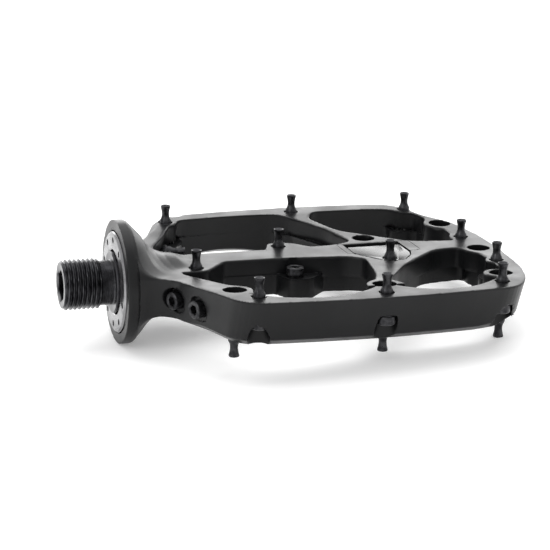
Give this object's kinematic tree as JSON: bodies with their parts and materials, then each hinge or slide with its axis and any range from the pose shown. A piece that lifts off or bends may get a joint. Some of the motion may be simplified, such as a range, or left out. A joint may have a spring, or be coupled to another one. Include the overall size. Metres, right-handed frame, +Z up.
{
  "type": "flat pedal",
  "caption": "Left flat pedal with a dished, windowed platform, screw-in traction pins on both faces and a threaded spindle turning on a bearing and a bush.",
  "frame": {"origin": "middle of the bounding box in plan, at the lowest point of the inboard flange; the spindle axis is 17.5 mm above it", "axes": "+X outboard along the spindle, away from the crank; +Y across the tread; +Z up, out of one of the two identical tread faces"},
  "size_m": [0.1286, 0.1118, 0.035],
  "materials": {
    "anodised_body": "satin black anodised aluminium",
    "anodised_cover": "satin black anodised aluminium",
    "black_steel": "black oxide steel",
    "spindle_steel": "dark oiled steel",
    "bright_steel": "turned and lightly polished",
    "seal_rubber": "matte",
    "bronze": "sintered bronze"
  },
  "bodies": {
    "platform": {"pedal_body": "anodised_body", "lock_ring": "bright_steel", "spindle_seal": "seal_rubber", "inboard_bearing_outer_race": "bright_steel", "inboard_bearing_cage": "bronze", "inboard_bearing_shield_crank": "seal_rubber", "inboard_bearing_shield_body": "seal_rubber", "outboard_bush": "bronze", "hatch_cover_top": "anodised_cover", "hatch_cover_bottom": "anodised_cover", "pin_top_01": "black_steel", "pin_top_02": "black_steel", "pin_top_03": "black_steel", "pin_top_04": "black_steel", "pin_top_05": "black_steel", "pin_top_06": "black_steel", "pin_top_07": "black_steel", "pin_top_08": "black_steel", "pin_top_09": "black_steel", "pin_top_10": "black_steel", "pin_top_11": "black_steel", "pin_bottom_01": "black_steel", "pin_bottom_02": "black_steel", "pin_bottom_03": "black_steel", "pin_bottom_04": "black_steel", "pin_bottom_05": "black_steel", "pin_bottom_06": "black_steel", "pin_bottom_07": "black_steel", "pin_bottom_08": "black_steel", "pin_bottom_09": "black_steel", "pin_bottom_10": "black_steel", "pin_bottom_11": "black_steel", "spare_pin_far_1": "black_steel", "spare_pin_far_2": "black_steel", "spare_pin_near_1": "black_steel", "spare_pin_near_2": "black_steel"},
    "spindle": {"spindle": "spindle_steel", "inboard_bearing_inner_race": "bright_steel", "thrust_washer": "bright_steel", "spindle_nut": "bright_steel"}
  },
  "joints": [
    {"name": "spindle_spin", "type": "hinge", "parent": "platform", "child": "spindle", "pos_m": [0, 0, 0.0175], "axis": [1, 0, 0], "continuous": true}
  ]
}
